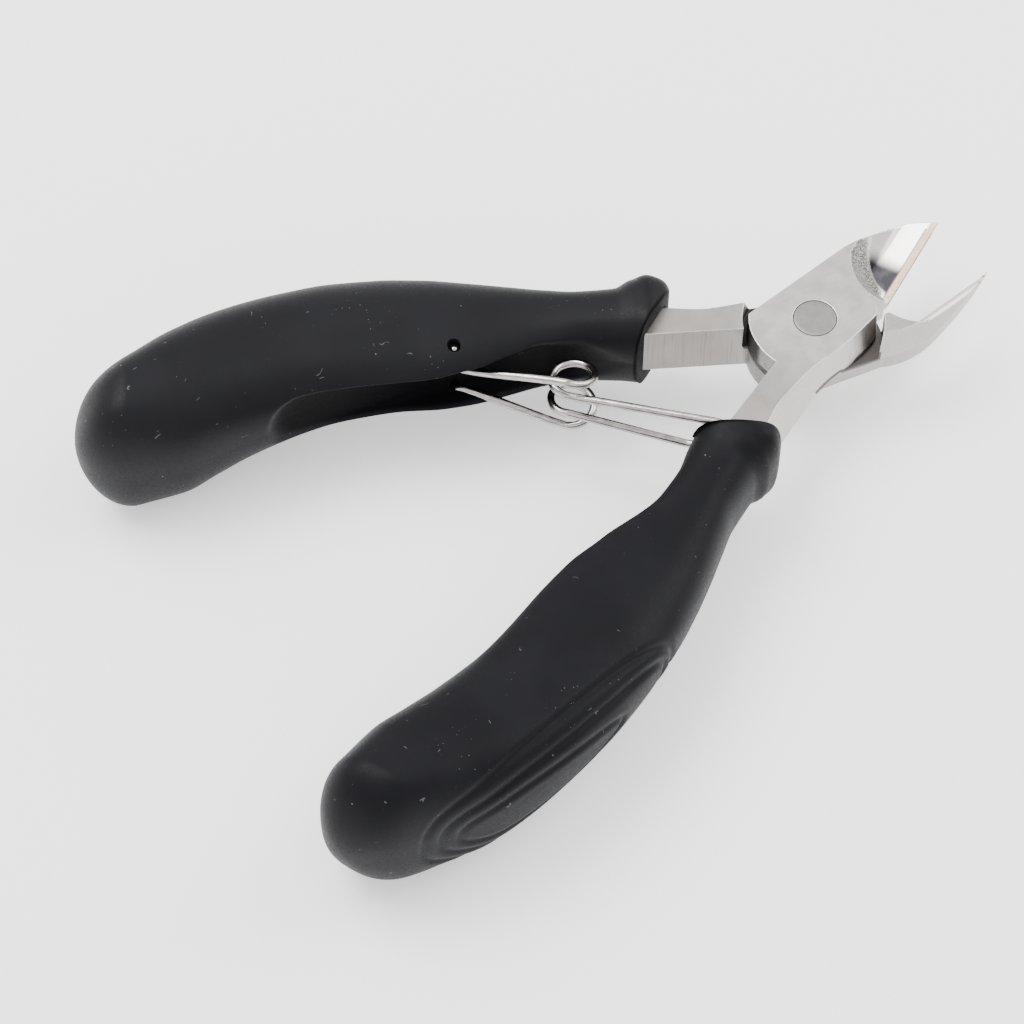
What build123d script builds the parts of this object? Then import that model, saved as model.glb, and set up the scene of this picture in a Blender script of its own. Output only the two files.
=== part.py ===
from build123d import *
import os
from math import asin, atan2, cos, degrees, dist, radians, sin

# Spring-opened toenail nipper, drawn open. Millimetres.
# Origin: the centre of the rivet's upper face. +X points out between the jaws, +Z is the pivot
# axis, up. The front lever is the one whose half of the lap joint is on top: its jaw is on the
# +Y side and its handle on the -Y side. The functions below draw every part about the middle of
# the joint's thickness, z = 0, and the last lines lower them all by half that thickness.

# ---- driving dimensions ----
half_thick = 4.25            # half of the joint's thickness
lap_gap = 0.03               # each lap face stands this far from the mid plane
plate_radius = 9.2           # round shoulder of each half of the lap joint
step_radius = 9.6            # concave step that faces the other lever's shoulder
step_room = 0.45             # more room between step and shoulder on the handles' side
handle_angle = 25.5          # each handle's slope from the X axis
handle_shift = (1.0, 1.2)    # where the two handle axes cross
edges_meet_angle = 21.5      # turn of the front lever that brings the two edges together

heel = (12.6, -0.2)          # cutting edge of the front jaw, in plan
tip = (27.3, 8.1)
edge_height = -2.0           # height of both cutting edges
edge_length = 16.88
edge_angle = 29.45           # direction of the front cutting edge at rest

rivet_head_radius = 2.98
rivet_head_depth = 1.6
rivet_shaft_radius = 2.0
running_fit = 0.05           # radial clearance of the rivet in the lever that turns on it

wire_radius = 0.6
coil_radius = 2.95           # to the wire's centre
coil_centre = (-32.7, 10.4)
tail_pivot = (-45.5, 20.6)   # holes in the back grip that take the spring's two ends
nose_point = (-19.4, -7.3)   # the spring's bridge, in its seat in the front shank
outer_turn_height = 4.9
inner_turn_height = 3.35
tail_height = 2.65
nose_height = 2.5
tail_hole_radius = 0.68

shank_end = 27.0             # along the handle
tang_end = 60.0
tang_inner = 1.0             # across the handle
tang_outer = 4.2
tang_half_thick = 1.1

# One handle's sections: distance from the joint, inner side, outer side, half height, squareness,
# and how far the section's middle stands above the joint's.
grip_sections = [
    (19.6, -1.9, 5.8, 5.5, 3.4, -0.2),
    (20.2, -2.6, 6.6, 6.5, 3.4, -0.2),
    (21.4, -3.2, 7.3, 7.2, 3.4, -0.2),
    (23.2, -3.6, 7.8, 7.7, 3.2, -0.2),
    (25.0, -3.8, 7.8, 7.6, 2.8, -0.3),
    (27.4, -3.6, 7.0, 7.1, 2.6, -0.4),
    (32.6, -3.1, 7.2, 6.85, 2.6, -0.5),
    (37.0, -3.7, 8.1, 6.7, 2.6, -0.5),
    (42.0, -5.1, 9.3, 6.55, 2.6, -0.3),
    (48.0, -6.8, 10.5, 6.5, 2.6, 0.1),
    (53.7, -8.0, 11.3, 6.5, 2.6, 0.6),
    (60.0, -8.3, 11.6, 6.75, 2.6, 0.9),
    (66.3, -8.6, 11.4, 7.2, 2.6, 0.9),
    (73.0, -9.5, 10.5, 7.9, 2.6, 0.6),
    (79.0, -11.1, 9.1, 9.0, 2.6, 0.2),
    (84.0, -12.9, 7.4, 10.2, 2.6, -0.3),
    (88.5, -14.5, 5.3, 11.2, 2.6, -0.8),
]
collar_slant = ((23.7, -1.6), (19.8, 3.9))   # the collar's sloping front end, two points on it
butt_start = 94.8            # the round end starts here, with the section below
butt_section = (-15.1, 0.1, 12.0)
butt_rise = -0.9
butt_length = 8.0
butt_drift = -0.21           # sideways drift of the round end for each millimetre

os.makedirs("parts", exist_ok=True)


# ---- frames ----
def handle_point(s, q, side):
    """s runs back from the pivot along a handle, q points away from the other handle."""
    x = -s * cos(radians(handle_angle)) + q * sin(radians(handle_angle))
    y = s * sin(radians(handle_angle)) + q * cos(radians(handle_angle))
    return (x, side * y)


def grip_plane(side):
    """Plane with local x = s, local y = q and its origin where the handle axes cross."""
    a = radians(handle_angle)
    along = (-cos(a), side * sin(a), 0)
    return Plane(origin=(handle_shift[0], handle_shift[1], 0), x_dir=along, z_dir=(0, 0, -side))


def jaw_point(u, v, side):
    """u runs along the cutting edge from its heel, v points to the jaw's back."""
    turn = 0 if side > 0 else -edges_meet_angle
    h = Vector(heel[0], heel[1], 0).rotate(Axis.Z, turn)
    a = radians(edge_angle + turn)
    return (h.X + u * cos(a) - side * v * sin(a), h.Y + u * sin(a) + side * v * cos(a))


def lift(points, z):
    return [(x, y, z) for x, y in points]


# ---- levers ----
# Each side wall is a forging's drafted wall: widest at the mid plane, narrower at both faces.
def front_outline(z, is_face):
    t = jaw_point(edge_length, 0, 1)
    h = jaw_point(0, 0, 1)
    if is_face:
        back = [t, (24.4, 8.25), (21.0, 8.15), (16.9, 8.2), (12.7, 8.05), (10.2, 8.0)]
        shoulder_start = (-7.45, 5.35)
        wall = [handle_point(shank_end, 3.4, -1), (-14.8, -10.9), (-11.9, -9.1), (-8.8, -7.95),
                (-4.7, -6.65), (-0.65, -6.1), (3.85, -5.05), (7.7, -3.9)]
    else:
        back = [t, (25.0, 8.75), (21.6, 9.1), (17.2, 9.2), (12.9, 8.9), (10.5, 8.75)]
        shoulder_start = (-6.9, 6.1)
        wall = [handle_point(shank_end, 5.2, -1), (-13.3, -12.5), (-9.3, -10.5), (-6.6, -9.2),
                (-3.4, -7.9), (0.4, -7.05), (3.9, -6.4), (6.9, -5.2)]
    shoulder_end = (-8.6, -3.27)
    inner = handle_point(shank_end, -1.2, -1)
    nose = (8.62, -0.6)
    with BuildLine(Plane.XY.offset(z)) as line:
        Spline(back)
        Line(back[-1], shoulder_start)
        ThreePointArc(shoulder_start, (-plate_radius, 0.0), shoulder_end)
        Line(shoulder_end, inner)
        Line(inner, wall[0])
        Spline(wall)
        ThreePointArc(wall[-1], (8.5, -2.3), nose)
        Line(nose, h)
        Line(h, t)
    return make_face(line.wire())


def back_outline(z, is_face):
    t = jaw_point(edge_length, 0, -1)
    h = jaw_point(0, 0, -1)
    if is_face:
        back = [(7.0, -7.1), (10.0, -7.95), (13.4, -7.9), (18.5, -6.4), (23.6, -4.5), t]
        shoulder_end = (-7.5, -5.1)
        wall = [(7.7, 3.9), (3.85, 5.05), (-0.65, 6.1), (-4.7, 6.65), (-8.8, 7.95),
                (-11.9, 9.1), (-14.8, 10.9), handle_point(shank_end, 3.6, 1)]
    else:
        back = [(6.6, -8.2), (9.9, -8.85), (13.4, -8.75), (18.4, -7.15), (23.7, -4.95), t]
        shoulder_end = (-7.0, -5.9)
        wall = [(6.9, 5.2), (3.9, 6.4), (0.4, 7.05), (-3.4, 7.9), (-6.6, 9.2),
                (-9.3, 10.5), (-13.3, 12.5), handle_point(shank_end, 5.2, 1)]
    corner = (8.5, -4.35)
    inner = handle_point(shank_end, -0.3, 1)
    shoulder_start = handle_point(9.2, -0.85, 1)
    with BuildLine(Plane.XY.offset(z)) as line:
        Line(t, h)
        Line(h, corner)
        ThreePointArc(corner, (9.0, 0.0), wall[0])
        Spline(wall)
        Line(wall[-1], inner)
        Line(inner, shoulder_start)
        ThreePointArc(shoulder_start, (-plate_radius, 0.0), shoulder_end)
        Line(shoulder_end, back[0])
        Spline(back)
    return make_face(line.wire())


def blank(outline):
    """Full-thickness forging: two tapering halves that meet at the mid plane."""
    upper = loft([outline(0, False), outline(half_thick, True)], ruled=True)
    lower = loft([outline(-half_thick, True), outline(0, False)], ruled=True)
    return upper + lower


def lap_pocket(side):
    """Round room for the other lever's half, below the mid plane for the front lever."""
    depth = half_thick + lap_gap + 1
    z = lap_gap - depth / 2 if side > 0 else depth / 2 - lap_gap
    room = Cylinder(step_radius, depth)
    return Pos(0, 0, z) * room + Pos(-step_room, 0, z) * room


def jaw_prism(section, u_start, u_end, side):
    """Extrudes a (v, z) section along the cutting edge."""
    start = jaw_point(u_start, 0, side)
    a = radians(edge_angle if side > 0 else edge_angle - edges_meet_angle)
    along = (cos(a), sin(a), 0)
    out = (-side * sin(a), side * cos(a), 0)
    plane = Plane(origin=(start[0], start[1], 0), x_dir=out, z_dir=tuple(side * c for c in along))
    face = plane * make_face(Polyline(section, close=True))
    return extrude(face, side * (u_end - u_start))


def hollow(side):
    """Hollow-ground face: a wide drum cut along the jaw, closed by a round sloping heel wall."""
    if side > 0:
        drum_v, drum_z, drum_radius = -6.3, 13.0, 16.0
    else:
        drum_v, drum_z, drum_radius = -8.1, 6.6, 12.0
    middle = jaw_point(8, drum_v, side)
    turn = edge_angle if side > 0 else edge_angle - edges_meet_angle
    drum = Pos(middle[0], middle[1], drum_z) * Rot(0, 0, turn) * Rot(0, 90, 0) * Cylinder(drum_radius, 60)

    run = Vector(cos(radians(35)), side * sin(radians(35)))
    out = Vector(-side * run.Y, side * run.X)

    def heel_wall(z, radius):
        """Half circle round the heel end, open towards the tip."""
        near = Vector(17.3, side * 1.2, z)
        far = near + run * 25
        with BuildLine() as line:
            ThreePointArc(near + out * radius, near - run * radius, near - out * radius)
            Polyline(near - out * radius, far - out * radius, far + out * radius, near + out * radius)
        return make_face(line.wire())

    room = loft([heel_wall(-half_thick, 2.9), heel_wall(half_thick, 8.7)], ruled=True)
    room += extrude(heel_wall(half_thick, 8.7), 2)
    return drum & room


def shape_jaw(lever, side):
    bevel_width = 0.9
    bevel_rise = 0.7
    top = half_thick + 1
    bottom = -half_thick - 1
    bevel = [(-1, edge_height - bevel_rise), (0, edge_height),
             (bevel_width, edge_height + bevel_rise), (bevel_width, top), (-1, top)]
    relief = [(-1, edge_height - 0.05), (0, edge_height - 0.05), (2.9, bottom), (-1, bottom)]
    lever -= hollow(side)
    lever -= jaw_prism(bevel, 0, edge_length + 3, side)
    lever -= jaw_prism(relief, -0.5, edge_length + 3, side)
    return lever


def handle_block(s_range, q_range, half_height, side):
    """Block given in a handle's own length and width."""
    s_middle = (s_range[0] + s_range[1]) / 2
    q_middle = (q_range[0] + q_range[1]) / 2
    block = Box(s_range[1] - s_range[0], q_range[1] - q_range[0], 2 * half_height)
    return grip_plane(side) * Pos(s_middle, q_middle, 0) * block


def tang(side):
    return handle_block((shank_end - 1, tang_end), (tang_inner, tang_outer), tang_half_thick, side)


def rivet_room(radial, axial):
    """Shaft hole and both head recesses, grown by the given clearances."""
    room = Cylinder(rivet_shaft_radius + radial, 4 * half_thick)
    for z in (-1, 1):
        height = rivet_head_depth + axial + 1
        place = z * (half_thick + 1 - height / 2)
        room += Pos(0, 0, place) * Cylinder(rivet_head_radius + radial, height)
    return room


def nose_seat():
    """Blind slot in the front shank's inner wall where the spring's bridge rests and rolls."""
    return handle_block((19.2, 24.2), (-4.0, 2.3), 3.4, -1)


def front_shank():
    return blank(front_outline) - lap_pocket(1) + tang(-1)


def back_shank():
    return blank(back_outline) - lap_pocket(-1) + tang(1)


def front_lever():
    lever = shape_jaw(front_shank(), 1)
    return lever - rivet_room(running_fit, running_fit) - nose_seat()


def back_lever():
    return shape_jaw(back_shank(), -1) - rivet_room(0.01, 0.01)


def pivot_rivet():
    rivet = Cylinder(rivet_shaft_radius, 2 * half_thick)
    for z in (-1, 1):
        place = z * (half_thick - rivet_head_depth / 2)
        rivet += Pos(0, 0, place) * Cylinder(rivet_head_radius, rivet_head_depth)
    return rivet


# ---- grips ----
def grip_section(s, inner, outer, half_height, squareness, rise, side):
    """Closed curve across a handle: a rounded rectangle with the given squareness.

    The grip planes' own z axis points down for the back grip and up for the front one.
    """
    middle = (inner + outer) / 2
    half_width = (outer - inner) / 2
    points = []
    for step in range(16):
        a = radians(22.5 * step)
        across = abs(cos(a)) ** (2 / squareness) * half_width
        high = abs(sin(a)) ** (2 / squareness) * half_height
        q = middle + (across if cos(a) > 0 else -across)
        z = high if sin(a) > 0 else -high
        points.append(grip_plane(side).from_local_coords(Vector(s, q, z - side * rise)))
    return make_face(Spline(points, periodic=True))


def grip_body(side):
    sections = list(grip_sections)
    middle = (butt_section[0] + butt_section[1]) / 2
    half_width = (butt_section[1] - butt_section[0]) / 2
    for turn in (0, 22, 42, 60, 74, 84):
        reach = butt_length * sin(radians(turn)) ** 1.08
        shrink = cos(radians(turn)) ** 1.08
        centre = middle + butt_drift * reach
        sections.append((butt_start + reach, centre - half_width * shrink,
                         centre + half_width * shrink, butt_section[2] * shrink, 2.6, butt_rise))
    body = loft([grip_section(*section, side) for section in sections])
    return body - collar_front(side)


def collar_front(side):
    """Everything in front of the collar's sloping end."""
    (s1, q1), (s2, q2) = collar_slant
    slope = (s2 - s1) / (q2 - q1)
    with BuildLine(grip_plane(side)) as line:
        Polyline((s1 + slope * (-20 - q1), -20), (s1 + slope * (20 - q1), 20), (-20, 20), (-20, -20),
                 close=True)
    return extrude(make_face(line.wire()), 30, both=True)


def coil_pocket(side):
    """Open trough in a grip's inner side that the spring's coils lie in."""
    floor = [(28.0, -2.8), (34.5, -1.8), (44.0, -1.4), (48.5, -2.2)]
    with BuildLine(grip_plane(side)) as line:
        Spline(floor)
        Polyline(floor[-1], (51.5, -12), (26.0, -12), floor[0])
    return extrude(make_face(line.wire()), 5.9, both=True)


def leg_pocket(side):
    """Narrower trough behind the coil pocket, for the two legs and their pivot holes."""
    floor = [(46.0, -1.6), (50.5, -1.4), (56.0, -3.2), (64.0, -6.6), (74.0, -10.9)]
    with BuildLine(grip_plane(side)) as line:
        Spline(floor)
        Polyline(floor[-1], (74.0, -18), (46.0, -18), floor[0])
    return extrude(make_face(line.wire()), 3.7, both=True)


def collar_window():
    """Opening in the front grip's collar that the spring's nose swings through."""
    floor = [(18.0, 0.4), (28.4, 0.4), (37.0, -2.2)]
    with BuildLine(grip_plane(-1)) as line:
        Polyline(*floor, (37.0, -12), (18.0, -12), close=True)
    return extrude(make_face(line.wire()), 3.7, both=True)


def front_grip():
    grip = grip_body(-1) - front_shank() - coil_pocket(-1) - leg_pocket(-1)
    return grip - collar_window()


def back_grip():
    grip = grip_body(1) - back_shank() - coil_pocket(1) - leg_pocket(1)
    hole = Pos(tail_pivot[0], tail_pivot[1], 0) * Cylinder(tail_hole_radius, 30)
    return grip - hole


# ---- spring ----
def leg_direction(start, end, lean):
    """Angle of a leg that leaves the coil on the tangent, and not along the coil's radius."""
    line = atan2(end[1] - start[1], end[0] - start[0])
    return line + lean * asin(coil_radius / dist(start, end))


tail_direction = leg_direction(tail_pivot, coil_centre, -1)
nose_direction = leg_direction(coil_centre, nose_point, 1)


def coil_point(a, z):
    return (coil_centre[0] + coil_radius * cos(a), coil_centre[1] + coil_radius * sin(a), z)


def tube(points, bend):
    path = FilletPolyline(*points, radius=bend)
    start = Plane(origin=path @ 0, z_dir=path % 0)
    return sweep(start * Circle(wire_radius), path=path)


def turn_of_wire(a, z, arc):
    """Part of one flat turn, from angle a counterclockwise."""
    start = Plane(origin=coil_point(a, z), x_dir=(cos(a), sin(a), 0), z_dir=(-sin(a), cos(a), 0))
    axis = Axis((coil_centre[0], coil_centre[1], 0), (0, 0, 1))
    return revolve(start * Circle(wire_radius), axis, arc)


def spring_outer(level):
    """One leg with its bent tail and the coil's outer turn: above for level 1, below for -1."""
    a = tail_direction - radians(90)
    z = level * outer_turn_height
    meeting = coil_point(a, z)
    tail_end = (tail_pivot[0], tail_pivot[1], level * 6.2)
    bend = (tail_pivot[0], tail_pivot[1], level * tail_height)
    leg = tube([tail_end, bend, meeting], 1.1)
    return leg + turn_of_wire(a, z, 330) + Pos(*meeting) * Sphere(wire_radius)


def spring_inner():
    """Inner turns of both coils, the two front legs and the bridge that joins them."""
    a = nose_direction - radians(90)
    top = coil_point(a, inner_turn_height)
    bottom = coil_point(a, -inner_turn_height)
    nose_top = (nose_point[0], nose_point[1], nose_height)
    nose_bottom = (nose_point[0], nose_point[1], -nose_height)
    spring = tube([top, nose_top, nose_bottom, bottom], 1.1)
    for place in (top, bottom):
        start = a - radians(330)
        spring += turn_of_wire(start, place[2], 330) + Pos(*place) * Sphere(wire_radius)
    return spring


nodes = {
    "front_lever": front_lever(),
    "back_lever": back_lever(),
    "pivot_rivet": pivot_rivet(),
    "front_grip": front_grip(),
    "back_grip": back_grip(),
    "spring_upper_tail": spring_outer(1),
    "spring_lower_tail": spring_outer(-1),
    "spring_nose": spring_inner(),
}

for name, solid in nodes.items():
    lowered = Pos(0, 0, -half_thick) * solid
    lowered.label = name
    export_step(lowered, f"parts/{name}.step")
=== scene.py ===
import math

import bpy
import numpy as np
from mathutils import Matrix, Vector


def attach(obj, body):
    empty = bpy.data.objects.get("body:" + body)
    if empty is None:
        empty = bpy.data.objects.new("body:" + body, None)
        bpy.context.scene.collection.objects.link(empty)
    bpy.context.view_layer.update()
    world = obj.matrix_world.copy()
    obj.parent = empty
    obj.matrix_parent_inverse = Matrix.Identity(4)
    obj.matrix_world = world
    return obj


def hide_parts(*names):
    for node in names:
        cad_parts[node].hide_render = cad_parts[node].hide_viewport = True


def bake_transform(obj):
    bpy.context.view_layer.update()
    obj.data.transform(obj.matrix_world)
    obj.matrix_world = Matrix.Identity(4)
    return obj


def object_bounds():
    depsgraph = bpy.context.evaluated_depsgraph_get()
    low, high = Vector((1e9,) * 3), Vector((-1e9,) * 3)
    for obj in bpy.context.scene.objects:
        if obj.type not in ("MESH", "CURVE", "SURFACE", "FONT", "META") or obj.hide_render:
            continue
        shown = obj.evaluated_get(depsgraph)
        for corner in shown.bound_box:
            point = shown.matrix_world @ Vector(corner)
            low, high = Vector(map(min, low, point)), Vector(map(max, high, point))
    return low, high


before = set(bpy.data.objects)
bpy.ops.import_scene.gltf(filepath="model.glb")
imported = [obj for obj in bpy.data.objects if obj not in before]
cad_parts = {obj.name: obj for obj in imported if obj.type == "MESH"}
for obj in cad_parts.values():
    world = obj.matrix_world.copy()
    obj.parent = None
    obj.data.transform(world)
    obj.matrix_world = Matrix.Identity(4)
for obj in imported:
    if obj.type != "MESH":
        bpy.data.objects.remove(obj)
cad_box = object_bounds()

# All drawing below is in millimetres about the middle of the joint's thickness. RISE takes it to
# the row's frame, whose origin is on the rivet's upper face.
MM = 0.001
HALF_THICKNESS = 4.25
RISE = -HALF_THICKNESS

# A handle has its own directions: s runs from the pivot to the butt, and q runs outwards across it.
HANDLE_ANGLE = math.radians(25.5)
HANDLE_SHIFT = (1.0, 1.2)

# The spring's wire radius and coil radius, and where its coils, tails and nose stand.
WIRE, COIL = 0.58, 2.95
COIL_CENTRE = np.array((-32.7, 10.4))
TAIL = np.array((-45.5, 20.6))
NOSE = np.array((-19.4, -7.3))


# ---------------------------------------------------------------- small helpers
def add_object(name, data):
    """A new object in the scene for a mesh, a light or a camera."""
    made = bpy.data.objects.new(name, data)
    bpy.context.scene.collection.objects.link(made)
    return made


def facing_along(direction):
    """The rotation of a camera or light that looks in this direction."""
    return direction.to_track_quat("-Z", "Y").to_euler()


def mesh_object(name, points, faces, smooth=True):
    """A mesh object from points in millimetres about the joint's middle."""
    mesh = bpy.data.meshes.new(name)
    placed = (np.asarray(points, float) + (0, 0, RISE)) * MM
    mesh.from_pydata(placed.tolist(), [], faces)
    mesh.validate()
    mesh.update()
    if smooth:
        mesh.polygons.foreach_set("use_smooth", [True] * len(mesh.polygons))
    return add_object(name, mesh)


def strip(first, second, count):
    """Four-sided faces between two rings of count points, given where each ring starts."""
    i = np.arange(count)
    j = (i + 1) % count
    return np.stack([first + i, first + j, second + j, second + i], -1).tolist()


def fan(ring, centre, count):
    """Triangles from a ring of count points to a centre point."""
    return [(ring + i, ring + (i + 1) % count, centre) for i in range(count)]


def flipped(faces):
    """The same faces, seen from the other side."""
    return [tuple(reversed(face)) for face in faces]


def prism(name, low_ring, high_ring):
    """A closed solid between two rings of points, counterclockwise from above."""
    count = len(low_ring)
    faces = [tuple(reversed(range(count))), tuple(range(count, 2 * count))]
    faces += strip(0, count, count)
    return mesh_object(name, np.concatenate([low_ring, high_ring]), faces, smooth=False)


def coordinates(mesh):
    """The mesh's points in millimetres about the joint's middle."""
    flat = np.empty(len(mesh.vertices) * 3, np.float32)
    mesh.vertices.foreach_get("co", flat)
    return flat.reshape(-1, 3).astype(float) / MM - (0, 0, RISE)


def vertex_normals(mesh):
    flat = np.empty(len(mesh.vertices) * 3, np.float32)
    mesh.vertex_normals.foreach_get("vector", flat)
    return flat.reshape(-1, 3)


def mask(mesh, name, values):
    """Stores a 0 to 1 value on each point, for a material to read."""
    attribute = mesh.attributes.new(name, "FLOAT", "POINT")
    attribute.data.foreach_set("value", np.clip(values, 0, 1).astype(np.float32))


def smoothstep(x, low, high):
    """0 at low, 1 at high; low may be the larger of the two."""
    t = np.clip((x - low) / (high - low), 0, 1)
    return t * t * (3 - 2 * t)


def smooth_max(a, b, radius):
    """The larger of a and b, with a round fillet of about this radius where they cross."""
    return 0.5 * (a + b + np.sqrt((a - b) ** 2 + radius ** 2))


def signed_power(value, power):
    return np.sign(value) * np.abs(value) ** power


def applied(obj, name):
    """A new object with obj's modifiers applied; obj is removed."""
    depsgraph = bpy.context.evaluated_depsgraph_get()
    mesh = bpy.data.meshes.new_from_object(obj.evaluated_get(depsgraph))
    bpy.data.objects.remove(obj)
    return add_object(name, mesh)


def cut(obj, cutter, name):
    """obj with cutter taken away."""
    boolean = obj.modifiers.new("cut", "BOOLEAN")
    boolean.operation = "DIFFERENCE"
    boolean.solver = "MANIFOLD"
    boolean.object = cutter
    made = applied(obj, name)
    bpy.data.objects.remove(cutter)
    return made


def even_copy(node, name, voxel):
    """A copy of a CAD node with a modifier that gives it an even mesh."""
    copy = add_object(name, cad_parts[node].data.copy())
    remesh = copy.modifiers.new("remesh", "REMESH")
    remesh.mode = "VOXEL"
    remesh.voxel_size = voxel * MM
    return copy


def handle_to_world(s, q, z, side):
    """Points of the handle on the +Y side (side 1) or the -Y side (side -1)."""
    a = HANDLE_ANGLE
    x = HANDLE_SHIFT[0] - s * math.cos(a) + q * math.sin(a)
    y = HANDLE_SHIFT[1] + side * (s * math.sin(a) + q * math.cos(a))
    return np.stack([x, y, z], -1)


def world_to_handle(x, y, side):
    a = HANDLE_ANGLE
    hx, hy = x - HANDLE_SHIFT[0], side * (y - HANDLE_SHIFT[1])
    return -hx * math.cos(a) + hy * math.sin(a), hx * math.sin(a) + hy * math.cos(a)


# ---------------------------------------------------------------- camera, light and floor
def camera():
    elevation = math.radians(57.58)
    azimuth = math.radians(-31.38)
    distance = 478.09 * MM
    look = Vector((-math.sin(azimuth) * math.cos(elevation),
                   math.cos(azimuth) * math.cos(elevation), -math.sin(elevation)))
    right = Vector((math.cos(azimuth), math.sin(azimuth), 0))
    aside = right * -0.107 * MM - right.cross(look) * 0.336 * MM
    target = Vector((-50.34 * MM, -2.71 * MM, RISE * MM)) + aside
    data = bpy.data.cameras.new("camera")
    data.sensor_width = 36
    data.lens = 125.2
    data.clip_start = 0.01
    data.clip_end = 20
    cam = add_object("camera", data)
    cam.location = target - look * distance
    cam.rotation_euler = facing_along(look)
    bpy.context.scene.camera = cam


def area_light(name, place, aim, size, power):
    data = bpy.data.lights.new(name, "AREA")
    data.shape = "RECTANGLE"
    data.size, data.size_y = size
    data.energy = power
    light = add_object(name, data)
    light.location = place
    light.rotation_euler = facing_along(Vector(aim) - Vector(place))


def floor_plane():
    """A pale floor just below the tool."""
    reach = 3.0
    low = cad_box[0][2] - 0.0002
    mesh = bpy.data.meshes.new("floor")
    mesh.from_pydata([(-reach, -reach, low), (reach, -reach, low), (reach, reach, low),
                      (-reach, reach, low)], [], [(0, 1, 2, 3)])
    floor = add_object("floor", mesh)
    mat = bpy.data.materials.new("floor")
    mat.use_nodes = True
    shader = mat.node_tree.nodes["Principled BSDF"]
    shader.inputs["Base Color"].default_value = (0.9, 0.9, 0.9, 1)
    shader.inputs["Emission Color"].default_value = (1, 1, 1, 1)
    shader.inputs["Emission Strength"].default_value = 0.45
    shader.inputs["Roughness"].default_value = 0.9
    shader.inputs["Specular IOR Level"].default_value = 0.0
    mesh.materials.append(mat)


def surroundings():
    """A white world with one patch that is a little darker, for the steel to mirror."""
    patch = Vector((0.85, -0.5, 0.12)).normalized()
    white_strength, patch_strength = 1.7, 1.3
    world = bpy.data.worlds.new("world")
    world.use_nodes = True
    tree = world.node_tree
    back = tree.nodes["Background"]
    coords = tree.nodes.new("ShaderNodeTexCoord")
    nearness = tree.nodes.new("ShaderNodeVectorMath")
    nearness.operation = "DOT_PRODUCT"
    nearness.inputs[1].default_value = patch
    tree.links.new(coords.outputs["Generated"], nearness.inputs[0])
    ramp = tree.nodes.new("ShaderNodeMapRange")
    ramp.interpolation_type = "SMOOTHSTEP"
    ramp.inputs["From Min"].default_value = 0.86
    ramp.inputs["From Max"].default_value = 0.99
    ramp.inputs["To Min"].default_value = white_strength
    ramp.inputs["To Max"].default_value = patch_strength
    tree.links.new(nearness.outputs["Value"], ramp.inputs["Value"])
    tree.links.new(ramp.outputs["Result"], back.inputs["Strength"])
    back.inputs["Color"].default_value = (1, 1, 1, 1)
    bpy.context.scene.world = world


# ---------------------------------------------------------------- materials
class Nodes:
    """A short way to write a node tree."""

    def __init__(self, name):
        self.material = bpy.data.materials.new(name)
        self.material.use_nodes = True
        self.tree = self.material.node_tree
        self.shader = self.tree.nodes["Principled BSDF"]

    def node(self, kind, **settings):
        made = self.tree.nodes.new(kind)
        for key, value in settings.items():
            setattr(made, key, value)
        return made

    def link(self, output, target):
        self.tree.links.new(output, target)

    def put(self, target, value):
        """Links a node's output to an input, or sets the input to a plain value."""
        if isinstance(value, bpy.types.NodeSocket):
            self.link(value, target)
        else:
            target.default_value = value

    def surface(self, name, value):
        """Sets one of the shader's own inputs."""
        self.put(self.shader.inputs[name], value)

    def place(self, scale=(1, 1, 1), turn=(0, 0, 0)):
        """Object coordinates in millimetres, scaled and turned."""
        coords = self.node("ShaderNodeTexCoord")
        mapping = self.node("ShaderNodeMapping")
        self.link(coords.outputs["Object"], mapping.inputs["Vector"])
        mapping.inputs["Scale"].default_value = [v / MM for v in scale]
        mapping.inputs["Rotation"].default_value = turn
        return mapping.outputs["Vector"]

    def noise(self, where, scale, detail=3.0):
        made = self.node("ShaderNodeTexNoise")
        self.link(where, made.inputs["Vector"])
        made.inputs["Scale"].default_value = scale
        made.inputs["Detail"].default_value = detail
        made.inputs["Roughness"].default_value = 0.55
        return made.outputs["Fac"]

    def cells(self, where, scale):
        """Distance to the nearest of a scatter of points."""
        made = self.node("ShaderNodeTexVoronoi")
        self.link(where, made.inputs["Vector"])
        made.inputs["Scale"].default_value = scale
        return made.outputs["Distance"]

    def ramp(self, value, low, high, out_low=0.0, out_high=1.0):
        made = self.node("ShaderNodeMapRange", interpolation_type="SMOOTHSTEP")
        self.put(made.inputs["Value"], value)
        made.inputs["From Min"].default_value = low
        made.inputs["From Max"].default_value = high
        made.inputs["To Min"].default_value = out_low
        made.inputs["To Max"].default_value = out_high
        return made.outputs["Result"]

    def math(self, operation, a, b=0.0):
        made = self.node("ShaderNodeMath", operation=operation)
        self.put(made.inputs[0], a)
        self.put(made.inputs[1], b)
        return made.outputs["Value"]

    def times(self, a, b):
        return self.math("MULTIPLY", a, b)

    def blend(self, factor, a, b):
        made = self.node("ShaderNodeMix", data_type="RGBA")
        self.put(made.inputs["Factor"], factor)
        self.put(made.inputs["A"], a)
        self.put(made.inputs["B"], b)
        return made.outputs["Result"]

    def attribute(self, name):
        made = self.node("ShaderNodeAttribute", attribute_name=name)
        return made.outputs["Fac"]

    def bump(self, height, strength, distance, after=None):
        made = self.node("ShaderNodeBump")
        self.put(made.inputs["Strength"], strength)
        made.inputs["Distance"].default_value = distance * MM
        self.link(height, made.inputs["Height"])
        if after is not None:
            self.link(after, made.inputs["Normal"])
        return made.outputs["Normal"]


def rgb(r, g, b, tone=1.0):
    return (r * tone, g * tone, b * tone, 1)


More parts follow.
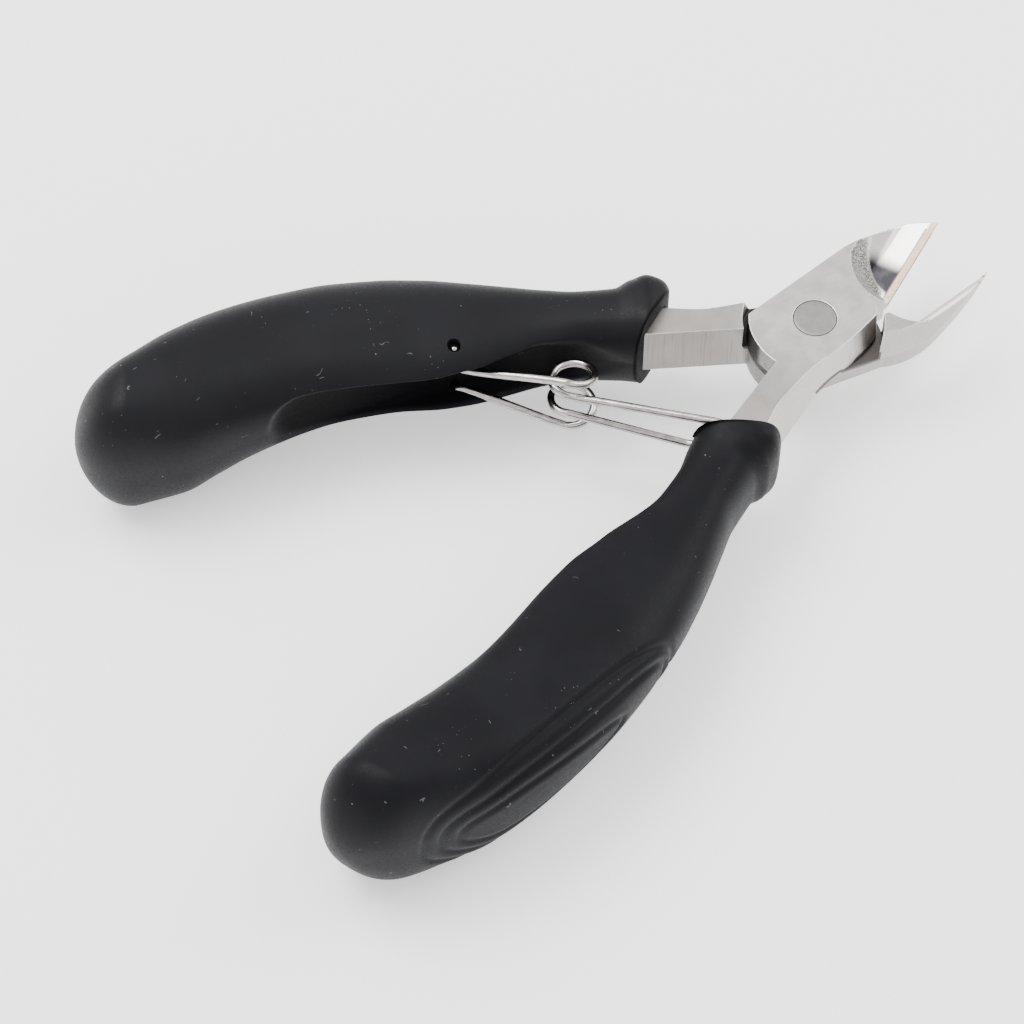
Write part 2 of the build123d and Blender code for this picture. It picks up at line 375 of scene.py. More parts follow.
def pale_dust(n, where):
    """Where dust lies: larger specks, tiny ones in patches, and short bits of lint."""
    patch = n.ramp(n.noise(where, 0.16, 2), 0.5, 0.68)
    speck = n.ramp(n.cells(where, 0.55), 0.04, 0.075, 1.0, 0.0)
    tiny = n.ramp(n.cells(where, 1.3), 0.05, 0.1, 1.0, 0.0)
    chosen = n.ramp(n.noise(n.place((0.9, 0.9, 0.9)), 1.0, 1), 0.58, 0.64)
    curl = n.math("ABSOLUTE", n.math("SUBTRACT", n.noise(where, 0.5, 1), 0.5))
    scatter = n.noise(n.place((0.55, 0.55, 0.55), (0.3, 0.2, 0.7)), 1.0, 0)
    gate = n.ramp(scatter, 0.77, 0.81, 0.0, 0.6)
    lint = n.times(n.ramp(curl, 0.007, 0.018, 1.0, 0.0), gate)
    return n.math("MAXIMUM", n.math("MAXIMUM", n.times(speck, chosen), n.times(tiny, patch)), lint)


def grip_material(name, shine):
    """Soft-touch black with dust. Mask: hollow areas, which get little light and are given painted shade:
    darker, less glossy and less dusty.
    """
    n = Nodes(name)
    where = n.place()
    hollow = n.attribute("hollow")
    cloud = n.ramp(n.noise(where, 0.09, 3), 0.35, 0.65)
    tone = n.blend(cloud, rgb(0.0032, 0.0031, 0.0046), rgb(0.0048, 0.0047, 0.0064))
    # painted shade: the trough and the collar's front face are coloured darker
    tone = n.blend(hollow, tone, rgb(0.0019, 0.0018, 0.0025))
    dust = n.times(pale_dust(n, where), n.ramp(hollow, 0.2, 0.8, 0.55, 0.12))
    n.surface("Base Color", n.blend(dust, tone, rgb(0.2, 0.2, 0.21)))
    n.surface("Roughness", n.ramp(n.noise(where, 3.2, 2), 0.3, 0.7, 0.42, 0.54))
    n.surface("Specular IOR Level", n.ramp(hollow, 0.0, 1.0, shine, 0.03))
    n.surface("Sheen Weight", n.ramp(hollow, 0.0, 0.6, 0.012, 0.0))
    n.surface("Sheen Roughness", 0.5)
    n.surface("Normal", n.bump(n.noise(where, 5.0, 3), 0.25, 0.05))
    return n.material


def steel_material(name, along_turn, tone):
    """Tumbled and brushed steel, the masks' own finishes, and painted light and shade.

    Masks: polished, with shade, a painted reflection of something dark; pitted; honed; edge, a painted
    highlight; wall, which is scored upright; painted shade on the shanks; line, which is dark; painted
    shade between the levers.
    """
    n = Nodes(name)
    where = n.place()
    brushed = n.noise(n.place((0.45, 5.0, 5.0), (0, 0, along_turn)), 1.0, 4)
    upright = n.noise(n.place((4.0, 4.0, 0.12), (0, 0, along_turn)), 1.0, 3)
    streak = n.noise(n.place((0.7, 0.7, 0.7)), 1.0, 4)
    cloud = n.noise(where, 0.35, 4)
    grain = n.noise(where, 9.0, 2)
    polished, pitted, honed = n.attribute("polished"), n.attribute("pitted"), n.attribute("honed")
    edge, wall = n.attribute("edge"), n.attribute("wall")

    cloudy = n.ramp(cloud, 0.3, 0.7)
    flat = n.blend(cloudy, rgb(0.36, 0.338, 0.322, tone), rgb(0.4, 0.377, 0.36, tone))
    # painted shade: the shanks' steel is coloured darker
    flat = n.blend(n.attribute("painted_shank_shade"), flat, rgb(0.315, 0.293, 0.277))
    scratches = n.times(n.ramp(brushed, 0.42, 0.72), 0.5)
    flat = n.blend(scratches, flat, rgb(0.29, 0.277, 0.268, tone))
    scores = n.times(wall, n.ramp(upright, 0.5, 0.72, 0.0, 0.55))
    flat = n.blend(scores, flat, rgb(0.2, 0.19, 0.185))

    pits = n.times(n.ramp(n.cells(where, 4.2), 0.2, 0.6), n.ramp(n.noise(where, 5.5, 3), 0.34, 0.56))
    blasted = n.blend(pits, rgb(0.12, 0.112, 0.106), rgb(0.5, 0.48, 0.46))
    # painted reflection: a dark patch in the front jaw's polished colour
    dark = n.times(n.attribute("shade"), n.ramp(streak, 0.3, 0.6, 0.985, 1.0))
    mirror = n.blend(dark, rgb(0.84, 0.81, 0.78), rgb(0.022, 0.021, 0.024))

    colour = n.blend(polished, flat, mirror)
    colour = n.blend(pitted, colour, blasted)
    colour = n.blend(n.times(honed, 0.9), colour, rgb(0.68, 0.5, 0.37))
    # painted highlight: convex edges are coloured bright
    colour = n.blend(n.times(edge, 0.7), colour, rgb(0.8, 0.775, 0.75))
    colour = n.blend(n.attribute("line"), colour, rgb(0.035, 0.027, 0.024))
    # painted shade: the pocket and gaps between the levers are coloured almost black
    colour = n.blend(n.attribute("painted_gap_shade"), colour, rgb(0.012, 0.011, 0.01))
    n.surface("Base Color", colour)
    n.surface("Metallic", 1.0)

    rough = n.math("ADD", n.ramp(cloud, 0.3, 0.7, 0.34, 0.44), n.times(pitted, 0.12))
    for smoother, amount in ((polished, 0.27), (honed, 0.12), (edge, 0.12)):
        rough = n.math("SUBTRACT", rough, n.times(smoother, amount))
    n.surface("Roughness", rough)

    body = n.math("SUBTRACT", 1.0, polished)
    relief = n.bump(grain, n.times(body, 0.35), 0.03)
    relief = n.bump(brushed, n.times(body, 0.3), 0.04, relief)
    relief = n.bump(upright, n.times(wall, 0.6), 0.08, relief)
    relief = n.bump(pits, n.times(pitted, 0.8), 0.25, relief)
    n.surface("Normal", relief)
    return n.material


def rivet_material():
    """Matt grey steel."""
    n = Nodes("rivet_steel")
    where = n.place()
    cloud = n.ramp(n.noise(where, 0.7, 4), 0.3, 0.7)
    n.surface("Base Color", n.blend(cloud, rgb(0.225, 0.217, 0.205), rgb(0.26, 0.25, 0.238)))
    n.surface("Metallic", 1.0)
    n.surface("Roughness", n.ramp(n.noise(where, 2.0, 3), 0.3, 0.7, 0.38, 0.5))
    n.surface("Normal", n.bump(n.noise(where, 8.0, 3), 0.4, 0.04))
    return n.material


def wire_material():
    """Bright drawn wire."""
    n = Nodes("spring_wire")
    where = n.place()
    streak = n.ramp(n.noise(n.place((0.5, 0.5, 4.0)), 1.0, 3), 0.35, 0.7)
    n.surface("Base Color", n.blend(streak, rgb(0.31, 0.29, 0.275), rgb(0.5, 0.48, 0.46)))
    n.surface("Metallic", 1.0)
    n.surface("Roughness", n.ramp(n.noise(where, 1.5, 3), 0.3, 0.7, 0.13, 0.24))
    n.surface("Normal", n.bump(n.noise(where, 6.0, 3), 0.2, 0.03))
    return n.material


# ---------------------------------------------------------------- grips
# Rows of: s, inner side, outer side, half height, squareness, rise above the joint's middle.
GRIP = np.array([
    (19.6, -1.9, 5.8, 5.5, 4.0, -0.2), (20.2, -2.6, 6.6, 6.5, 4.0, -0.2),
    (21.4, -3.2, 7.3, 7.2, 4.0, -0.2), (23.2, -3.6, 7.8, 7.7, 3.6, -0.2),
    (25.0, -3.8, 7.8, 7.6, 2.8, -0.3), (27.4, -3.6, 7.0, 7.1, 2.6, -0.4),
    (32.6, -3.1, 7.2, 6.85, 2.6, -0.5), (37.0, -3.7, 8.1, 6.7, 2.6, -0.5),
    (42.0, -5.1, 9.3, 6.55, 2.6, -0.3), (48.0, -6.8, 10.5, 6.5, 2.6, 0.1),
    (53.7, -8.0, 11.3, 6.5, 2.6, 0.6), (60.0, -8.3, 11.6, 6.75, 2.6, 0.9),
    (66.3, -8.6, 11.4, 7.2, 2.6, 0.9), (73.0, -9.5, 10.5, 7.9, 2.6, 0.6),
    (79.0, -11.1, 9.1, 9.0, 2.6, 0.2), (84.0, -12.9, 7.4, 10.2, 2.6, -0.3),
    (88.5, -14.5, 5.3, 11.2, 2.6, -0.8), (94.8, -15.1, 0.8, 12.0, 2.6, -0.9)])
GRIP_START = GRIP[0, 0]
COLLAR_END = 27.0

# The round butt drifts inwards, and its outer side starts with the slope of the rows before it.
BUTT_START, BUTT_LENGTH, BUTT_ROUNDNESS = 94.8, 8.0, 1.85
BUTT_DRIFT, BUTT_SLOPE = -0.21, -0.45

# Two (s, q) points of the collar's sloping front face, and how far it is set back on each side.
COLLAR_SLANT = ((23.7, -1.6), (19.8, 3.9))
SETBACK = {1: 0.0, -1: 1.85}
COLLAR_ROUNDING = 0.6
COLLAR_CENTRE = 21.8

# The trough for the spring: (s, half height of its mouth) and (s, q of its floor).
TROUGH_START, TROUGH_END = 26.0, 77.2
TROUGH_MOUTH = np.array([
    (26.0, 0.5), (29.5, 3.0), (33.0, 4.6), (38.0, 5.0), (44.0, 4.5), (48.0, 4.1),
    (52.0, 4.1), (58.0, 4.6), (66.0, 5.4), (72.0, 5.9), (75.5, 4.6), (77.2, 0.5)])
TROUGH_FLOOR = np.array([
    (26.0, -5.0), (30.0, -2.9), (34.5, -1.8), (44.0, -1.4), (50.5, -1.4), (56.0, -2.4),
    (64.0, -4.4), (70.0, -6.2), (74.0, -7.8), (76.2, -9.6), (77.2, -11.5)])

# The opening for the spring's nose in the front grip's collar: (s, q) corners, counterclockwise.
WINDOW = ((18.0, -12.0), (38.0, -12.0), (38.0, -2.1), (32.0, -0.7), (28.4, 0.4), (18.0, 0.6))
WINDOW_LOW, WINDOW_HIGH = -5.4, 3.4

# Nested leaf-shaped grooves: s where each starts and ends, half its spread in degrees, and how
# blunt its two ends are. On each side they lie round one angle of the grip, more or less spread.
LEAVES = ((55.8, 96.6, 58, 0.45, 0.55), (57.8, 94.4, 36, 0.5, 0.5), (67.5, 92.4, 18, 0.65, 0.55))
LEAF_PLACE = {1: (math.radians(-20), 0.75), -1: (0.0, 1.0)}
GROOVE_DEPTH, GROOVE_WIDTH = 0.31, 0.52
RIDGE_HEIGHT, RIDGE_WIDTH, RIDGE_DISTANCE = 0.03, 0.5, 1.2


def monotone(x, y, at):
    """Smooth curve through the points that doesn't overshoot between them."""
    h = np.diff(x)
    slope = np.diff(y) / h
    same = slope[:-1] * slope[1:] > 0
    w1 = 2 * h[1:] + h[:-1]
    w2 = h[1:] + 2 * h[:-1]
    safe = np.where(slope == 0, 1, slope)
    m = np.zeros_like(y)
    m[1:-1][same] = ((w1 + w2) / (w1 / safe[:-1] + w2 / safe[1:]))[same]
    m[0], m[-1] = slope[0], slope[-1]
    i = np.clip(np.searchsorted(x, at) - 1, 0, len(h) - 1)
    t = (at - x[i]) / h[i]
    return (y[i] * (1 + 2 * t) * (1 - t) ** 2 + m[i] * h[i] * t * (1 - t) ** 2
            + y[i + 1] * t * t * (3 - 2 * t) + m[i + 1] * h[i] * t * t * (t - 1))


def grip_section(s):
    """Middle, half width, half height, squareness and rise at each distance along the handle."""
    at = np.clip(s, GRIP_START, BUTT_START)
    inner, outer, height, square, rise = (monotone(GRIP[:, 0], GRIP[:, i], at) for i in range(1, 6))
    reach = np.clip((s - BUTT_START) / BUTT_LENGTH, 0, 1)
    shrink = (1 - reach ** BUTT_ROUNDNESS) ** (1 / BUTT_ROUNDNESS)
    middle = (inner + outer) / 2 + BUTT_DRIFT * reach * BUTT_LENGTH
    wide = (outer - inner) / 2 * shrink
    slope = BUTT_SLOPE * reach * BUTT_LENGTH * (1 - reach) ** 2
    # slightly narrower than its rows, to stay inside the CAD box
    return middle + slope / 2, wide + slope / 2 - 0.03 * shrink, height * shrink, square, rise


def skin(s, phi):
    """q and z of the grip's plain surface at an angle round its squarish section."""
    middle, wide, high, square, rise = grip_section(s)
    return (middle + wide * signed_power(np.cos(phi), 2 / square),
            rise + high * signed_power(np.sin(phi), 2 / square))


def grooves(s, q, z, phi, centre, spread):
    """Depth of the nested grooves round an angle on the grip's outer side."""
    away = np.abs(np.arctan2(np.sin(phi - centre), np.cos(phi - centre)))
    near = (away < math.radians(85)) & (s > 52) & (s < 101)
    here = np.stack([s[near], q[near], z[near]], -1)
    depth = np.zeros(len(here))
    t = (1 - np.cos(np.linspace(0, math.pi, 420))) / 2
    for start, end, width, front, back in LEAVES:
        peak = front / (front + back)
        angle = math.radians(width) * t ** front * (1 - t) ** back / (peak ** front * (1 - peak) ** back)
        angle = centre + spread * np.concatenate([angle, -angle])
        line_s = np.tile(start + (end - start) * t, 2)
        line = np.stack([line_s, *skin(line_s, angle)], -1)
        d = np.empty(len(here))
        for i in range(0, len(here), 4000):
            gap = here[i:i + 4000, None, :] - line[None, :, :]
            d[i:i + 4000] = np.sqrt((gap ** 2).sum(-1).min(1))
        depth += GROOVE_DEPTH * np.exp(-(d / GROOVE_WIDTH) ** 2)
        depth -= RIDGE_HEIGHT * np.exp(-((d - RIDGE_DISTANCE) / RIDGE_WIDTH) ** 2)
    sunk = np.zeros_like(s)
    sunk[near] = depth
    return sunk


def trough(s, z, side):
    """q of the trough's floor and its sloping sides."""
    at = np.clip(s, TROUGH_START, TROUGH_END)
    mouth = monotone(*TROUGH_MOUTH.T, at)
    if side < 0:
        # the coils drop into the front grip's trough as the tool closes
        mouth += smoothstep(s, 27, 41.5) * smoothstep(s, 64, 48)
    floor = monotone(*TROUGH_FLOOR.T, at)
    floor = floor - 3.0 * np.maximum(0, TROUGH_START - s) - 3.5 * np.maximum(0, s - TROUGH_END)
    return floor - 4.5 * smooth_max(np.abs(z) - mouth + 0.5, 0, 0.8)


def collar_front(q, side):
    """s of the collar's sloping front face."""
    (s1, q1), (s2, q2) = COLLAR_SLANT
    return s1 + SETBACK[side] + (s2 - s1) / (q2 - q1) * (q - q1)


def grip_skin(name, side):
    """A grip without its cut-outs: rings of points from the collar's front to the butt's tip."""
    columns = 336
    s_line = np.concatenate([np.linspace(GRIP_START, COLLAR_END, 60)[:-1],
                             np.linspace(COLLAR_END, BUTT_START, 310)[:-1],
                             BUTT_START + BUTT_LENGTH * np.sin(np.linspace(0, math.pi / 2, 91)) ** 1.08])
    middle, _, _, _, rise = grip_section(s_line)
    phi_line = np.linspace(0, 2 * math.pi, columns, endpoint=False)
    s, phi = np.meshgrid(s_line[:-1], phi_line, indexing="ij")
    q, z = skin(s, phi)
    sunk = grooves(s, q, z, phi, *LEAF_PLACE[side])
    q -= sunk * signed_power(np.cos(phi), 0.7)
    z -= sunk * signed_power(np.sin(phi), 0.9)
    hollowed = smooth_max(q, trough(s, z, side), 0.4 + 1.1 * smoothstep(s, 47, 38))
    q = np.where(np.cos(phi) < 0, hollowed, q)
    sloped = smooth_max(s, collar_front(q, side), COLLAR_ROUNDING)
    points = [handle_to_world(sloped, q, z, side).reshape(-1, 3)]
    # smaller and smaller rings close the collar's front
    rows = len(s_line) - 1
    front = [0]
    for shrink in (0.92, 0.8, 0.6, 0.4, 0.2):
        front.append((rows + len(points) - 1) * columns)
        q0 = middle[0] + (q[0] - middle[0]) * shrink
        z0 = rise[0] + (z[0] - rise[0]) * shrink
        s0 = smooth_max(GRIP_START, collar_front(q0, side), COLLAR_ROUNDING)
        points.append(handle_to_world(s0, q0, z0, side))
    collar_centre = front[-1] + columns
    tip = collar_centre + 1
    points.append(handle_to_world(COLLAR_CENTRE + SETBACK[side], middle[0], 0.0, side)[None])
    points.append(handle_to_world(s_line[-1], middle[-1], rise[-1], side)[None])
    faces = []
    for i in range(rows - 1):
        faces += strip(i * columns, (i + 1) * columns, columns)
    for outer_ring, inner_ring in zip(front[:-1], front[1:]):
        faces += strip(inner_ring, outer_ring, columns)
    faces += fan((rows - 1) * columns, tip, columns)
    faces += flipped(fan(front[-1], collar_centre, columns))
    return mesh_object(name, np.concatenate(points), flipped(faces) if side > 0 else faces)


def shank_cutter(node, gap):
    """A lever's shape grown by a small gap, to cut the dark slit between it and its grip."""
    copy = even_copy(node, "shank_copy", 0.2)
    grow = copy.modifiers.new("grow", "DISPLACE")
    grow.strength = gap * MM
    grow.mid_level = 0.0
    return applied(copy, "shank_cutter")


def cylinder_cutter(place, radius, low, high):
    angle = np.linspace(0, 2 * math.pi, 48, endpoint=False)
    x, y = place[0] + radius * np.cos(angle), place[1] + radius * np.sin(angle)
    low_ring, high_ring = (np.stack([x, y, np.full(len(angle), z)], -1) for z in (low, high))
    return prism("cutter", low_ring, high_ring)


def window_cutter(side):
    """Room in the front grip's collar for the spring's nose."""
    s, q = np.array(WINDOW).T
    low_ring, high_ring = (handle_to_world(s, q, np.full(len(s), z), side)
                           for z in (WINDOW_LOW, WINDOW_HIGH))
    return prism("window", low_ring, high_ring)


def grip_masks(mesh, side):
    """Marks the trough and the collar's front face, which get little light, for painted shade."""
    x, y, z = coordinates(mesh).T
    s, q = world_to_handle(x, y, side)
    middle, wide, high, square, rise = grip_section(s)
    up = np.clip(np.abs(z - rise) / np.maximum(high, 0.1), 0, 1)
    inner_side = middle - wide * (1 - up ** square) ** (1 / square)
    in_trough = smoothstep(q - inner_side, 0.15, 1.8) * (q < middle) * (s > 25) * (s < 80)
    on_front = 0.85 * smoothstep(s - collar_front(q, side), 0.75, 0.3)
    mask(mesh, "hollow", np.maximum(in_trough, on_front))


def grip(part, side, body, shine):
    """A soft grip, with room for its lever's tang and for the spring's tails or nose."""
    name = part + "_soft"
    made = cut(grip_skin(name, side), shank_cutter(body + "_lever", 0.2), name)
    if side > 0:
        made = cut(made, cylinder_cutter(TAIL, 0.95, 1.0, 12), name)
        made = cut(made, cylinder_cutter(TAIL, 0.66, -12, -1.0), name)
    else:
        made = cut(made, window_cutter(side), name)
    grip_masks(made.data, side)
    made.data.materials.clear()
    made.data.materials.append(grip_material(part + "_black", shine))
    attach(made, body)
    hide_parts(part)


# ---------------------------------------------------------------- levers, from the CAD shapes
# jaw is 1 for the front lever, whose jaw is on the +Y side, and -1 for the back lever. The front
# cutting edge starts at HEEL, and the back one lies on it once the tool has turned by MEET.
EDGE_ANGLE, MEET = math.radians(29.45), math.radians(21.5)
HEEL = np.array((12.6, -0.2))
EDGE_HEIGHT, BEVEL_SLOPE = -2.0, 0.778

# The hollow grinding of each jaw is part of a drum: v and z of its axis, and its radius.
DRUMS = {1: (-6.3, 13.0, 16.0), -1: (-8.1, 6.6, 12.0)}

# The wall between drum and joint is part of a cone that runs out from WALL_START.
WALL_START, WALL_ANGLE = (17.3, 1.2), math.radians(35)
WALL_FOOT, WALL_SPREAD = 2.9, 5.8

STEP_RADIUS = 9.2
# painted light: the same steel is coloured lighter on the front lever than on the back one
STEEL_LIGHTING_TONE = {1: 1.3, -1: 1.05}


def remeshed(node, name, voxel, rounds):
    """A fine even mesh of a CAD node with softened edges."""
    copy = even_copy(node, name + "_copy", voxel)
    wrap = copy.modifiers.new("wrap", "SHRINKWRAP")
    wrap.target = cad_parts[node]
    wrap.wrap_method = "NEAREST_SURFACEPOINT"
    smooth = copy.modifiers.new("smooth", "SMOOTH")
    smooth.factor = 0.5
    smooth.iterations = rounds
    made = applied(copy, name)
    made.data.materials.clear()
    made.data.polygons.foreach_set("use_smooth", [True] * len(made.data.polygons))
    return made


def jaw_frame(p, jaw):
    """u along the cutting edge from its heel, v towards the jaw's back."""
    turn = 0 if jaw > 0 else -MEET
    c, s = math.cos(turn), math.sin(turn)
    heel = np.array((HEEL[0] * c - HEEL[1] * s, HEEL[0] * s + HEEL[1] * c))
    a = EDGE_ANGLE + turn
    d = p[:, :2] - heel
    u = d[:, 0] * math.cos(a) + d[:, 1] * math.sin(a)
    v = jaw * (-d[:, 0] * math.sin(a) + d[:, 1] * math.cos(a))
    return u, v


def convexity(mesh, points, normals):
    """1 on outer edges, 0 on flat and hollow ground."""
    pairs = np.empty(len(mesh.edges) * 2, np.int32)
    mesh.edges.foreach_get("vertices", pairs)
    a, b = pairs.reshape(-1, 2).T
    size = len(points)
    total = np.zeros_like(points)
    count = np.zeros(size)
    for i, j in ((a, b), (b, a)):
        for axis in range(3):
            total[:, axis] += np.bincount(i, points[j, axis], size)
        count += np.bincount(i, minlength=size)
    lean = total / count[:, None] - points
    bend = -(lean * normals).sum(-1)
    for _ in range(2):
        around = (np.bincount(a, bend[b], size) + np.bincount(b, bend[a], size)) / count
        bend = 0.5 * bend + 0.5 * around
    return smoothstep(bend, 0.003, 0.011)


def inside_wall(p, jaw):
    """Distance from the line that the wall's cone runs along, and depth inside the cone."""
    along_wall = np.array((math.cos(WALL_ANGLE), jaw * math.sin(WALL_ANGLE)))
    beside_wall = np.array((-jaw * along_wall[1], jaw * along_wall[0]))
    d = p[:, :2] - np.array((WALL_START[0], jaw * WALL_START[1]))
    along, across = d @ along_wall, d @ beside_wall
    off = np.where(along < 0, np.hypot(along, across), np.abs(across))
    cone = WALL_FOOT + (p[:, 2] + HALF_THICKNESS) * WALL_SPREAD / (2 * HALF_THICKNESS)
    return off, cone - off


def lever_masks(mesh, jaw):
    """Marks where a lever is polished, pitted, honed, scored or dark-lined, and where light is painted:
    highlights on edges, shade on the shanks and between the levers, and a dark reflection on the front
    jaw.
    """
    p = coordinates(mesh)
    normals = vertex_normals(mesh)
    x, y, z = p.T
    nx, ny, nz = normals.T
    r = np.hypot(x, y)
    u, v = jaw_frame(p, jaw)
    s, q = world_to_handle(x, y, -jaw)

    # the hollow-ground face
    a = EDGE_ANGLE - (0 if jaw > 0 else MEET)
    nv = jaw * (-nx * math.sin(a) + ny * math.cos(a))
    drum_v, drum_z, drum_radius = DRUMS[jaw]
    drum = np.abs(np.hypot(v - drum_v, z - drum_z) - drum_radius)
    facing = smoothstep((nv * (drum_v - v) + nz * (drum_z - z)) / drum_radius, 0.86, 0.94)
    on_drum = (1 - smoothstep(drum, 0.1, 0.2)) * (z > -1.9) * (v > 0.8) * (x > 8) * facing

    # the honed bevel along the cutting edge, and the dark lines at its two borders
    bevel = np.abs(z - (EDGE_HEIGHT + BEVEL_SLOPE * v))
    on_bevel = (1 - smoothstep(bevel, 0.1, 0.2)) * (v < 1.0) * (v > -0.15) * (u > -0.3) * (nz > 0.4)
    borders = np.exp(-((v - 0.95) / 0.13) ** 2) + np.exp(-((v - 0.03) / 0.08) ** 2)

    # the blasted wall, and the round step's shoulder
    off, inside = inside_wall(p, jaw)
    cone = np.abs(inside)
    on_wall = (1 - smoothstep(cone, 0.12, 0.3)) * (z < 4.2) * (x > 7) * (z > -2.2) * (1 - on_bevel)
    on_wall = on_wall * (1 - on_drum * smoothstep(cone, 0.0, 0.25)) * (nz > 0.2) * (nz < 0.97)
    blasted = on_drum * smoothstep(inside, 0.85, 0.5) * smoothstep(v, 0.9, 2.2)
    shoulder = 0.55 * (np.abs(r - STEP_RADIUS) < 0.3) * (np.abs(nz) < 0.6) * (x < 0) * (np.abs(y) < 6.2)

    # the painted reflection: a dark patch coloured into the front jaw's polish, as if it mirrored
    # something dark
    painted_reflection_band = smoothstep(u + 0.5 * v, 8.6, 5.6) * smoothstep(u, 0.5, 1.8) * smoothstep(v, 6.4, 4.4)
    painted_reflection_band = np.maximum(painted_reflection_band, smoothstep(np.hypot(u - 4.2, v - 7.0), 1.3, 0.5))

    # painted shade between the two levers: the pocket round the joint, and the gap and ledge at the step
    pocket = (r < 9.9) * (r > 7.0) * (np.abs(z) < 1.2) * (jaw * z < 0.6)
    gap = (np.abs(r - STEP_RADIUS) < 0.4) * (x < 0) * (np.abs(nz) < 0.7) * smoothstep(y, -0.9, 0.5)
    ledge = (r > 8.8) * (r < 10.9) * (x < 0) * (y > -3) * (nz > 0.5) * (np.abs(z) < 0.8)
    crevice = gap if jaw > 0 else ledge

    mask(mesh, "polished", on_drum - blasted)
    mask(mesh, "pitted", np.maximum(np.maximum(on_wall * (off > 0.5), blasted), shoulder))
    # painted highlight along the convex edges
    mask(mesh, "edge", convexity(mesh, p, normals) * (1 - on_drum))
    mask(mesh, "honed", on_bevel)
    mask(mesh, "wall", smoothstep(s, 8, 9.5) * (q < (-1.0 if jaw > 0 else -0.1)) * (np.abs(z) < 4.15))
    # painted shade: the shanks are darker, on the front lever only on faces that look up
    mask(mesh, "painted_shank_shade", smoothstep(s, 5, 15) * (smoothstep(nz, 0.7, 0.9) if jaw > 0 else 1))
    # painted reflection on the front jaw
    mask(mesh, "shade", painted_reflection_band * (jaw > 0))
    mask(mesh, "line", 0.9 * borders * (bevel < 0.2) * (u > 0) * (u < 14.5))
    mask(mesh, "painted_gap_shade", np.maximum(0.8 * pocket, 0.95 * crevice))


def lever(node, name, jaw, body):
    obj = remeshed(node, name, 0.1, 3)
    lever_masks(obj.data, jaw)
    obj.data.materials.append(steel_material(name + "_steel", HANDLE_ANGLE * jaw, STEEL_LIGHTING_TONE[jaw]))
    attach(obj, body)
    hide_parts(node)


# ---------------------------------------------------------------- rivet
def rivet():
    """Two flush heads with softly broken edges on one shaft."""
    half = HALF_THICKNESS
    rim = [(2.5, half), (2.86, 4.247), (2.91, 4.225), (2.94, 4.16), (2.945, 2.7), (2.0, 2.65)]
    profile = rim + [(r, -z) for r, z in reversed(rim)]
    turns = 96
    points = [(r * math.cos(a), r * math.sin(a), z) for r, z in profile
              for a in np.linspace(0, 2 * math.pi, turns, endpoint=False)]
    top, bottom = len(points), len(points) + 1
    points += [(0, 0, half), (0, 0, -half)]
    last = (len(profile) - 1) * turns
    faces = []
    for start in range(0, last, turns):
        faces += strip(start + turns, start, turns)
    faces += fan(0, top, turns) + flipped(fan(last, bottom, turns))
    obj = mesh_object("rivet", points, faces)
    obj.data.materials.append(rivet_material())
    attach(obj, "back")
    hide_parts("pivot_rivet")


# ---------------------------------------------------------------- spring
BEND = 1.2
TAIL_REACH = 5.9
BLEND_REACH = 1.4


def tangent(start, end, lean):
    """Direction of the line from start to end that touches the coil on one side."""
    line = math.atan2(end[1] - start[1], end[0] - start[0])
    return line + lean * math.asin(COIL / np.linalg.norm(end - start))


def on_coil(angle):
    return COIL_CENTRE + COIL * np.array((math.cos(angle), math.sin(angle)))


def unit(vector):
    return vector / np.linalg.norm(vector)


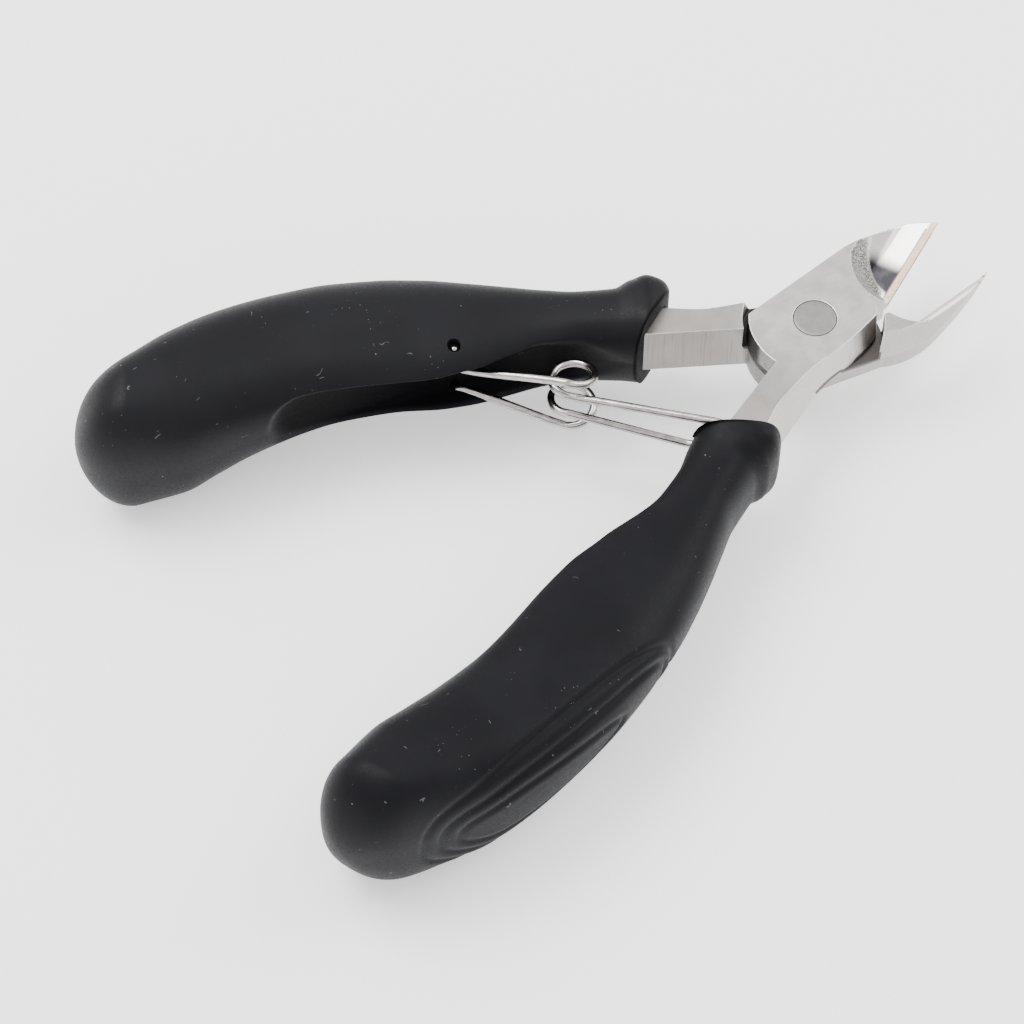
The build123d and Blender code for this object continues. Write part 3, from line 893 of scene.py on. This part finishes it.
def spring_half(level, tail_z, enter_z, back_z, leave_z, nose_z, sag):
    """Points from a tail's end, round its coil, to the middle of the bridge.

    level is 1 for the upper half and -1 for the lower one. The other values are heights: of the
    tail's bend, of the wire where it enters the coil, at the coil's back, where it leaves the coil
    and at the nose, and how far the long leg sags.
    """
    enter = tangent(TAIL, COIL_CENTRE, -1) - math.pi / 2
    leave = tangent(COIL_CENTRE, NOSE, 1) - math.pi / 2 + 2 * math.pi
    first, last = on_coil(enter), on_coil(leave)
    quarter = np.linspace(0, math.pi / 2, 9)[1:]

    # the tail in its hole, and its bend
    out = [(*TAIL, z) for z in np.linspace(level * TAIL_REACH, tail_z + level * BEND, 8)]
    way = unit(first - TAIL)
    for a in quarter:
        out.append((*(TAIL + way * BEND * (1 - math.cos(a))), tail_z + level * BEND * (1 - math.sin(a))))

    # the short leg to the coil
    begin = TAIL + way * BEND
    for t in np.linspace(0, 1, 60)[1:]:
        ease = t * t * (3 - 2 * t)
        out.append((*(begin + (first - begin) * t), tail_z + (enter_z - tail_z) * (0.6 * t + 0.4 * ease)))

    # the coil
    for t in np.linspace(0, 1, 140)[1:-1]:
        mean = enter_z + (leave_z - enter_z) * t
        lift = (back_z - (enter_z + leave_z) / 2) * math.sin(math.pi * t) ** 2
        out.append((*on_coil(enter + (leave - enter) * t), mean + lift))

    # the long leg, and its bend into the bridge
    way = unit(NOSE - last)
    stop = NOSE - way * BEND
    for t in np.linspace(0, 1, 80):
        sagging = sag * t * (1 - float(smoothstep(t, 0.8, 1.0)))
        out.append((*(last + (stop - last) * t), leave_z + (nose_z - leave_z) * t + sagging))
    for a in quarter:
        out.append((*(stop + way * BEND * math.sin(a)), nose_z - level * BEND * (1 - math.cos(a))))
    return out


def without_repeats(path):
    """The path without points that are almost on the one before."""
    keep = [0]
    for i in range(1, len(path)):
        if np.linalg.norm(path[i] - path[keep[-1]]) > 0.04:
            keep.append(i)
    return path[keep]


def spring():
    """One wire along both halves."""
    upper = spring_half(1, tail_z=1.1, enter_z=4.45, back_z=1.0, leave_z=1.3, nose_z=2.5, sag=0.0)
    lower = spring_half(-1, tail_z=-3.5, enter_z=-5.9, back_z=-4.45, leave_z=-2.8, nose_z=-2.9, sag=-1.6)
    path = without_repeats(np.array(upper + list(reversed(lower))))
    tangents = np.gradient(path, axis=0)
    tangents /= np.linalg.norm(tangents, axis=1)[:, None]
    normal = np.array((1.0, 0, 0))
    sides = 20
    angle = np.linspace(0, 2 * math.pi, sides, endpoint=False)
    points = []
    for p, t in zip(path, tangents):
        normal = unit(normal - t * (normal @ t))
        other = np.cross(t, normal)
        points += [p + WIRE * (math.cos(a) * normal + math.sin(a) * other) for a in angle]
    last = (len(path) - 1) * sides
    faces = []
    for start in range(0, last, sides):
        faces += strip(start, start + sides, sides)
    faces += [tuple(reversed(range(sides))), tuple(range(last, last + sides))]
    obj = mesh_object("spring_wire", points, faces)
    obj.data.materials.append(wire_material())
    way = unit(NOSE - TAIL)
    start = COIL_CENTRE - way * BLEND_REACH
    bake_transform(obj)
    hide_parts("spring_upper_tail", "spring_lower_tail", "spring_nose")


# ---------------------------------------------------------------- the scene
camera()
floor_plane()
surroundings()
area_light("key", (-0.25, 0.35, 0.75), (-0.03, 0, 0), (0.5, 0.5), 9.0)
area_light("side", (0.55, -0.1, 0.5), (-0.02, 0, 0), (0.35, 0.6), 4.0)
grip("front_grip", -1, "front", 0.085)
grip("back_grip", 1, "back", 0.12)
lever("front_lever", "front_lever_forged", 1, "front")
lever("back_lever", "back_lever_forged", -1, "back")
rivet()
spring()
